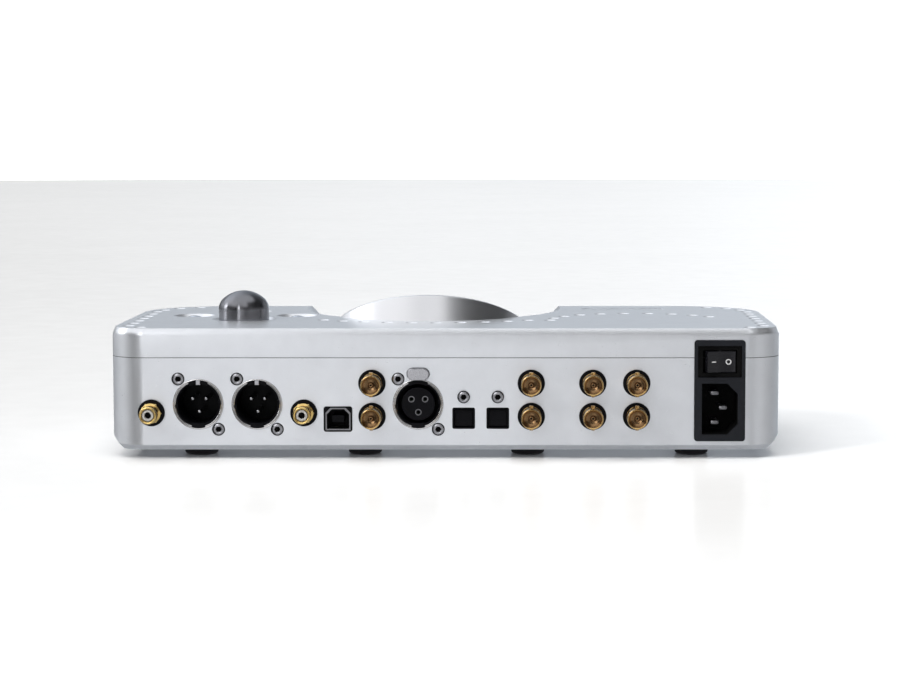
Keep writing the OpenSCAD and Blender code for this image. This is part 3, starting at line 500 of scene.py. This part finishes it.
def seam_groove_shade():
    """A thin black strip in the groove between the casings, round the rear and the sides: painted
    shade in the groove.
    """
    radius = 17 * MM  # of the casing's rear corners
    inset, depth, rise = 0.12 * MM, 1.2 * MM, 0.22 * MM
    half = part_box("lower_casing")[1].x
    end_y = FRONT_Y + 45 * MM
    path = [Vector((half, end_y, 0))]
    for side, angles in ((1, range(0, 91, 6)), (-1, range(90, 181, 6))):
        for angle in angles:
            a = math.radians(angle)
            spot = Vector((side * (half - radius), REAR_Y - radius, 0))
            path.append(spot + Vector((math.cos(a), math.sin(a), 0)) * radius)
    path.append(Vector((-half, end_y, 0)))
    bm = bmesh.new()
    rows = []
    for i, spot in enumerate(path):
        run = (path[min(i + 1, len(path) - 1)] - path[max(i - 1, 0)]).normalized()
        inward = Vector((-run.y, run.x, 0))
        row = []
        for across, up in ((inset, 0), (depth, 0), (depth, rise), (inset, rise)):
            row.append(bm.verts.new(spot + inward * across + Vector((0, 0, SEAM_Z + up))))
        rows.append(row)
    for first, second in zip(rows, rows[1:]):
        for i in range(4):
            j = (i + 1) % 4
            bm.faces.new((first[i], first[j], second[j], second[i]))
    bm.faces.new(rows[0])
    bm.faces.new(rows[-1])
    bmesh.ops.recalc_face_normals(bm, faces=bm.faces)
    add_piece("seam_groove_shade", bm, M["painted_shade"], "chassis")


seam_groove_shade()


# ---- Rear panel ----


def xlr_shells(node):
    """Shells with a grooved ring round the mouth."""
    bm = bmesh.new()
    depth = reach(solids(node)[0])[0]
    for place in rear_sites(node):
        line = [(12.1, 0.0), (12.0, 0.42), (11.85, 0.5), (11.62, 0.5), (11.5, 0.42), (11.42, 0.0)]
        line += [(11.3, -0.1), (11.14, 0.0), (11.06, 0.35), (10.95, 0.42), (10.75, 0.3)]
        line += [(10.5, -0.1), (10.5, depth + 2), (0, depth + 2), (0, depth), (12.1, depth)]
        turned(bm, place, line, 96)
    add_piece(node + "_finished", bm, M["nickel"], "chassis", (node,))


def xlr_linings(node):
    """The black sleeve inside each shell, with blocks at top, bottom and both sides."""
    bm = bmesh.new()
    deep, foot = -17.0, -3.0
    for place in rear_sites(node):
        line = [(10.49, 0.05), (10.2, 0.1), (9.75, -0.4), (9.65, deep), (10.49, deep)]
        turned(bm, place, eased(line, 0.12), 96)
        arc_block(bm, place, 9.7, 11.3, 90, 25, foot, 0.46)
        arc_block(bm, place, 9.2, 11.3, 270, 17, foot, 0.46)
        for angle in (6, 186):
            arc_block(bm, place, 9.7, 10.9, angle, 5, foot, 0.44)
    add_piece(node + "_linings", bm, M["black"], "chassis")


def xlr_keys():
    """The small steel key at the top of each balanced output."""
    bm = bmesh.new()
    for place in rear_sites("xlr_male_shells"):
        slab(bm, place, 2.1, 2.3, -6.0, 0.49, 0.2, 0.15, at=(0, 10.3))
    add_piece("xlr_keys", bm, M["steel"], "chassis")


def xlr_pins():
    """Contact pins with round tips."""
    bm = bmesh.new()
    node = "xlr_male_pins"
    for pin in solids(node):
        foot, tip = reach(pin)
        line = [(0, foot), (1.2, foot), (1.2, tip - 1.3), (1.08, tip - 0.75), (0.8, tip - 0.32)]
        turned(bm, rear_site(pin), line + [(0.4, tip - 0.08), (0, tip)], 36)
    add_piece(node + "_finished", bm, M["pin"], "chassis", (node,))


def xlr_contact_rings():
    """A thin metal mouth in each of the three contacts of the balanced input."""
    bm = bmesh.new()
    centre = rear_sites("xlr_female_shell")[0]
    ring = 3.96 * MM  # the contacts' circle
    outer, inner, mouth, deep = 1.48, 1.15, -1.0, -8.0
    for angle in (35, 145, 270):
        a = math.radians(angle)
        spot = Matrix.Translation((-ring * math.cos(a), ring * math.sin(a), 0))
        line = [(outer, mouth), (inner, mouth), (inner, deep), (outer, deep)]
        turned(bm, centre @ spot, line, 36)
    add_piece("xlr_contact_rings", bm, M["dull_steel"], "chassis")


def panel_screws(node, head_r):
    """Screws whose six-sided recess and the edge round the head take black as painted shade."""
    bm = bmesh.new()
    shank, recess = 1.24, 1.35
    for screw in solids(node):
        foot, top = reach(screw)
        seat = top - 1.9 if node == "xlr_screws" else 0.0
        line = [(1.2, top - recess, 6), (1.45, top - 0.12, 6), (1.7, top), (head_r - 0.85, top)]
        line += [(head_r - 0.4, top - 0.25), (head_r, top - 0.3), (head_r, seat), (shank, seat)]
        line += [(shank, foot), (0, foot), (0, top - recess)]
        # The faces listed in inner take the second finish, black as painted shade.
        turned(bm, rear_site(screw), line, 48, inner=(0, 4, 5, 10))
    add_piece(node + "_finished", bm, [M["steel"], M["painted_shade"]], "chassis", (node,))


def phono_sockets():
    """Gold phono sockets with a white ring, and a black disc in the nose's hole as painted shade.
    """
    gold, white, black = bmesh.new(), bmesh.new(), bmesh.new()
    foot, nose = reach(solids("phono_bodies")[0])
    inside = nose - 6
    for place in rear_sites("phono_bodies"):
        line = [(3.18, foot), (3.18, 1.05), (5.2, 1.05, 6), (5.2, 2.5, 6), (4.7, 3.3), (3.9, 3.6)]
        line += [(3.9, 4.6), (4.15, 5.0), (4.15, nose - 0.6), (3.85, nose), (3.45, nose)]
        line += [(3.0, nose - 0.5), (2.95, inside), (0, inside), (0, foot)]
        turned(gold, place, eased(line, 0.15, 2), 72)
        ring = [(2.6, nose - 0.75), (1.75, nose - 0.6), (1.6, nose - 0.75), (1.55, nose - 5.9)]
        ring += [(2.94, nose - 5.9), (2.94, nose - 1.6)]
        turned(white, place, ring, 60)
        # A black disc down the hole: painted shade.
        well = [(1.54, nose - 2.2), (0, nose - 2.2), (0, nose - 5.8), (1.54, nose - 5.8)]
        turned(black, place, well, 48)
    add_piece("phono_bodies_finished", gold, M["gold"], "chassis", ("phono_bodies",))
    add_piece("phono_rings", white, M["white"], "chassis")
    add_piece("phono_hole_shade", black, M["painted_shade"], "chassis")
    machined("phono_insulators", M["black"], 0.25 * MM)


def coaxial_sockets():
    """Gold bayonet sockets with bronze sleeves and a small contact in the middle, whose hole is a
    black disc of painted shade.
    """
    gold, bronze, dark = bmesh.new(), bmesh.new(), bmesh.new()
    foot, nose = reach(solids("bnc_bodies")[0])
    base = nose - 3.3  # of the contact's cup
    lug_rise = 6.5 * MM
    for place in rear_sites("bnc_bodies"):
        line = [(4.85, foot), (4.85, 1.6), (4.55, 2.0), (4.55, 3.2), (4.85, 3.6)]
        line += [(4.85, nose - 0.45), (4.7, nose - 0.05), (4.45, nose), (4.15, nose - 0.25)]
        line += [(4.08, nose - 1.0), (4.05, 1.0), (0, 1.0), (0, foot)]
        turned(gold, place, line, 72)
        for turn in (90, -90):
            side = Matrix.Rotation(math.radians(turn), 4, "X")
            lug = place @ Matrix.Translation((0, 0, lug_rise)) @ side
            turned(gold, lug, [(0, 4.6), (0.98, 4.6), (0.98, 5.7), (0.8, 5.88), (0, 5.88)], 24)
        cup = [(4.04, nose - 1.6), (3.5, nose - 2.2), (2.6, nose - 2.7), (1.5, nose - 2.9)]
        cup += [(1.1, base), (0, base), (0, 1.1), (4.04, 1.1)]
        turned(bronze, place, eased(cup, 0.2, 2), 60)
        pin = [(0.95, base - 0.01), (0.95, base + 0.6), (0.5, base + 0.6), (0.5, base - 0.01)]
        turned(bronze, place, eased(pin, 0.1, 2), 30)
        # A black disc in the contact's hole: painted shade.
        well = [(0.49, base + 0.2), (0, base + 0.2), (0, base), (0.49, base)]
        turned(dark, place, well, 24)
    add_piece("bnc_bodies_finished", gold, M["old_gold"], "chassis", ("bnc_bodies",))
    contacts = ("bnc_contacts",)
    add_piece("bnc_contacts_finished", bronze, M["bronze"], "chassis", contacts)
    add_piece("bnc_hole_shade", dark, M["painted_shade"], "chassis")
    machined("bnc_insulators", M["black"], 0.2 * MM)


def rocker_marks():
    """A plain dash and ring let into the rocker's two faces, for on and off."""
    centre = middle(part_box("power_rocker"))
    pivot = Vector((centre.x, REAR_Y - 0.8 * MM, centre.z))
    # The rocker in mm from its pivot: half its width, the height of its two ends, the
    # angle it rests at, and how far along each face its mark is.
    half, rise, swing, along = 6.9, 3.2, math.radians(12), 0.52
    valley = rise - half * math.tan(swing)
    slope = math.atan2(rise - valley, half)
    foot, top = -0.1, 0.012
    for side, name in ((1, "dash"), (-1, "ring")):
        bm = bmesh.new()
        out = Vector((side * half * along, valley + (rise - valley) * along + 0.005, 0)) * MM
        place = Matrix.Translation(pivot) @ Matrix.Rotation(swing, 4, "Z")
        place = place @ Matrix.Translation(out) @ Matrix.Rotation(side * slope, 4, "Z")
        place = place @ facing_rear(0, 0, 0)
        if name == "dash":
            slab(bm, place, 2.3, 0.55, foot, top, 0.2)
        else:
            turned(bm, place, [(1.35, foot), (1.35, top), (0.85, top), (0.85, foot)], 48)
        add_piece("rocker_" + name, bm, M["mark"], "power_rocker")


for name in ("xlr_male_shells", "xlr_female_shell"):
    xlr_shells(name)
    xlr_linings(name)
xlr_keys()
xlr_contact_rings()
machined("xlr_male_inserts", M["black"], 0.2 * MM)
machined("xlr_female_insert", M["black"], 0.3 * MM)
xlr_pins()
machined("xlr_latch", M["steel"], 0.55 * MM, "xlr_latch")
panel_screws("xlr_screws", 3.0)
panel_screws("optical_screws", 2.95)
phono_sockets()
coaxial_sockets()
machined("usb_shell", M["dull_steel"], 0.12 * MM)
machined("usb_insert", M["black"], 0.25 * MM)
machined("optical_receivers", M["black"], 0.3 * MM)
for side in ("a", "b"):
    node = "optical_shutter_" + side
    machined(node, M["black"], 0.15 * MM, node)

# The mains inlet's inside takes black as painted shade, darker than its bezel.
inlet = machined("mains_inlet", M["bezel"], 0.35 * MM)
inlet.data.materials.append(M["painted_shade"])
for polygon in inlet.data.polygons:
    polygon.material_index = 1 if polygon.center.y < REAR_Y + 0.75 * MM else 0
machined("inlet_blades", M["dull_steel"], 0.95 * MM)
machined("power_rocker", M["gloss_black"], 0.3 * MM, "power_rocker")
rocker_marks()
machined("jack_sockets", M["black"], 0.25 * MM)
machined("jack_nuts", M["nickel"], 0.3 * MM)


# ---- Inside ----

for key, nodes in {
    "board": ("display_board", "control_board", "main_board", "power_board", "headphone_board"),
    "black": (
        "display_seal", "volume_encoder", "button_switches", "processor_chip", "board_chips",
        "output_transistors", "bnc_housings", "processor_heat_sink", "output_heat_sink",
    ),
    "steel": ("encoder_shaft", "board_screws"),
    "brass": ("board_spacers",),
    "white": ("display_ribbon",),
    "sleeve": ("filter_capacitors", "power_capacitors"),
    "lacquer": ("power_transformer",),
    "wire": ("mains_wiring",),
}.items():
    for node in nodes:
        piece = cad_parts[node]
        piece.data.materials.clear()
        piece.data.materials.append(M[key])


# ---- Stage, light and camera ----


def plain(name, colour, rough, glow=0.0):
    """A studio surface with faint unevenness, lit from within by glow."""
    material = finish_of(name, colour, 0, rough, 0.03, 0.01, 3, 40, 0.01 * MM)
    shader = material.node_tree.nodes["Principled BSDF"]
    shader.inputs["Emission Color"].default_value = (1, 1, 1, 1)
    shader.inputs["Emission Strength"].default_value = glow
    return material


def sun(name, aim, strength, spread):
    """Even light from a wide disc of sky; it lights matt surfaces and hides from metal."""
    data = bpy.data.lights.new(name, "SUN")
    data.energy = strength
    data.angle = math.radians(spread)
    lamp = bpy.data.objects.new(name, data)
    SCENE.collection.objects.link(lamp)
    lamp.rotation_euler = Vector(aim).to_track_quat("-Z", "Y").to_euler()
    lamp.visible_glossy = False


FLOOR_DROP = 0.2 * MM  # keeps the floor clear of the feet's faces
bpy.ops.mesh.primitive_plane_add(size=14, location=(0, 0, -FLOOR_DROP))
floor = bpy.context.object
floor.name = "floor"
floor.data.materials.append(plain("floor_white", (0.95, 0.945, 0.935), 0.22))
bpy.ops.mesh.primitive_uv_sphere_add(segments=64, ring_count=32, radius=6.5)
dome = bpy.context.object
dome.name = "backdrop"
dome.data.materials.append(plain("backdrop_white", (0.9, 0.9, 0.9), 0.9, 1.0))
for flag in ("visible_glossy", "visible_diffuse", "visible_shadow", "visible_transmission"):
    setattr(dome, flag, False)
floor.visible_glossy = False

# What the metal mirrors, as (degrees from +Y towards +X, brightness), in bands that
# rise from the horizon. The two ends of a band meet behind the object.
HORIZON = (
    (-180, 0.36), (-168, 0.92), (-143, 0.46), (-105, 0.36), (-79, 0.42), (-57, 0.56),
    (-37, 0.52), (-16, 0.28), (9, 1.12), (14, 0.85), (19, 0.06), (46, 0.04), (58, 0.30),
    (75, 0.46), (95, 0.42), (125, 0.34), (165, 0.03), (180, 0.36),
)
MIDDLE = (
    (-180, 0.55), (-150, 0.30), (-128, 0.45), (-104, 0.02), (-50, 0.04), (-40, 0.20),
    (-30, 0.03), (11, 0.04), (15, 5.00), (20, 5.00), (24, 0.03), (78, 0.03), (86, 5.50),
    (94, 4.50), (104, 1.20), (150, 0.45), (180, 0.55),
)
UPPER = (
    (-180, 0.50), (-150, 0.15), (-100, 0.06), (-56, 0.06), (-38, 0.12), (-14, 1.00),
    (4, 0.86), (20, 0.78), (46, 1.10), (56, 1.10), (74, 1.10), (84, 1.40), (130, 1.35),
    (158, 1.0), (180, 0.50),
)


def band(nodes, links, turn, stops):
    """A colour ramp round the horizon from (degrees, brightness) stops."""
    ramp = nodes.new("ShaderNodeValToRGB")
    links.new(turn, ramp.inputs["Fac"])
    ramp.color_ramp.interpolation = "EASE"
    points = ramp.color_ramp.elements
    while len(points) < len(stops):
        points.new(0.5)
    for point, (angle, level) in zip(points, stops):
        point.position = (angle + 180) / 360
        # A little blue, and more of it from the sides towards the back.
        cool = 0.05 * max(0.0, (abs(angle) - 80) / 100)
        tint = (0.985 - 2 * cool, 0.99 - cool / 2, 1.015 + cool)
        point.color = [level * share for share in tint] + [1]
    return ramp.outputs["Color"]


def ranged(nodes, links, value, low, high):
    """A smooth step from 0 to 1 as value goes from low to high."""
    node = nodes.new("ShaderNodeMapRange")
    node.interpolation_type = "SMOOTHSTEP"
    node.inputs["From Min"].default_value = low
    node.inputs["From Max"].default_value = high
    links.new(value, node.inputs["Value"])
    return node.outputs["Result"]


def mixed(nodes, links, factor, first, second):
    """The first colour where factor is 0 and the second where it is 1."""
    node = nodes.new("ShaderNodeMix")
    node.data_type = "RGBA"
    links.new(factor, node.inputs["Factor"])
    for value, key in ((first, "A"), (second, "B")):
        if isinstance(value, tuple):
            node.inputs[key].default_value = value
        else:
            links.new(value, node.inputs[key])
    return node.outputs["Result"]


ZENITH = (0.93, 0.95, 0.98, 1)
GROUND = (0.30, 0.31, 0.33, 1)


def studio_world():
    """The bands joined into one sky that metal mirrors and matt surfaces don't see."""
    world = bpy.data.worlds.new("studio")
    SCENE.world = world
    world.use_nodes = True
    nodes, links = world.node_tree.nodes, world.node_tree.links
    split = nodes.new("ShaderNodeSeparateXYZ")
    links.new(nodes.new("ShaderNodeTexCoord").outputs["Generated"], split.inputs["Vector"])
    angle = nodes.new("ShaderNodeMath")
    angle.operation = "ARCTAN2"
    links.new(split.outputs["X"], angle.inputs[0])
    links.new(split.outputs["Y"], angle.inputs[1])
    turn = nodes.new("ShaderNodeMapRange")
    turn.inputs["From Min"].default_value = -math.pi
    turn.inputs["From Max"].default_value = math.pi
    links.new(angle.outputs[0], turn.inputs["Value"])
    whole, mid, high = (
        band(nodes, links, turn.outputs["Result"], stops) for stops in (HORIZON, MIDDLE, UPPER)
    )
    # Each layer takes over from the ones before it as the height goes from start to end.
    for layer, start, end in (
        (mid, 0.10, 0.20), (high, 0.42, 0.50), (ZENITH, 0.80, 0.93), (GROUND, -0.35, -0.85),
    ):
        share = ranged(nodes, links, split.outputs["Z"], start, end)
        whole = mixed(nodes, links, share, whole, layer)
    links.new(whole, nodes["Background"].inputs["Color"])
    world.cycles_visibility.diffuse = False


studio_world()
sun("sky", (-0.12, -0.25, -1.0), 3.8, 66)
sun("key", (-1.0, -0.8, -0.9), 1.5, 14)

# The camera looks at the rear from a little above and, seen from there, right of the
# middle, as in the photograph. The shift brings the object back to the picture's middle.
SIDE, BACK, ABOVE, DIP = -38.5 * MM, 1.1, 93 * MM, 5.05  # the last in degrees
camera_data = bpy.data.cameras.new("camera")
camera_data.sensor_width = 36.0
camera_data.lens = 93.28
camera_data.shift_x = -0.08444
camera = bpy.data.objects.new("camera", camera_data)
SCENE.collection.objects.link(camera)
camera.location = (SIDE, REAR_Y + BACK, TOP_Z + ABOVE)
camera.rotation_euler = (math.radians(90 - DIP), 0, math.radians(180))
SCENE.camera = camera
SCENE.view_settings.view_transform = "Standard"
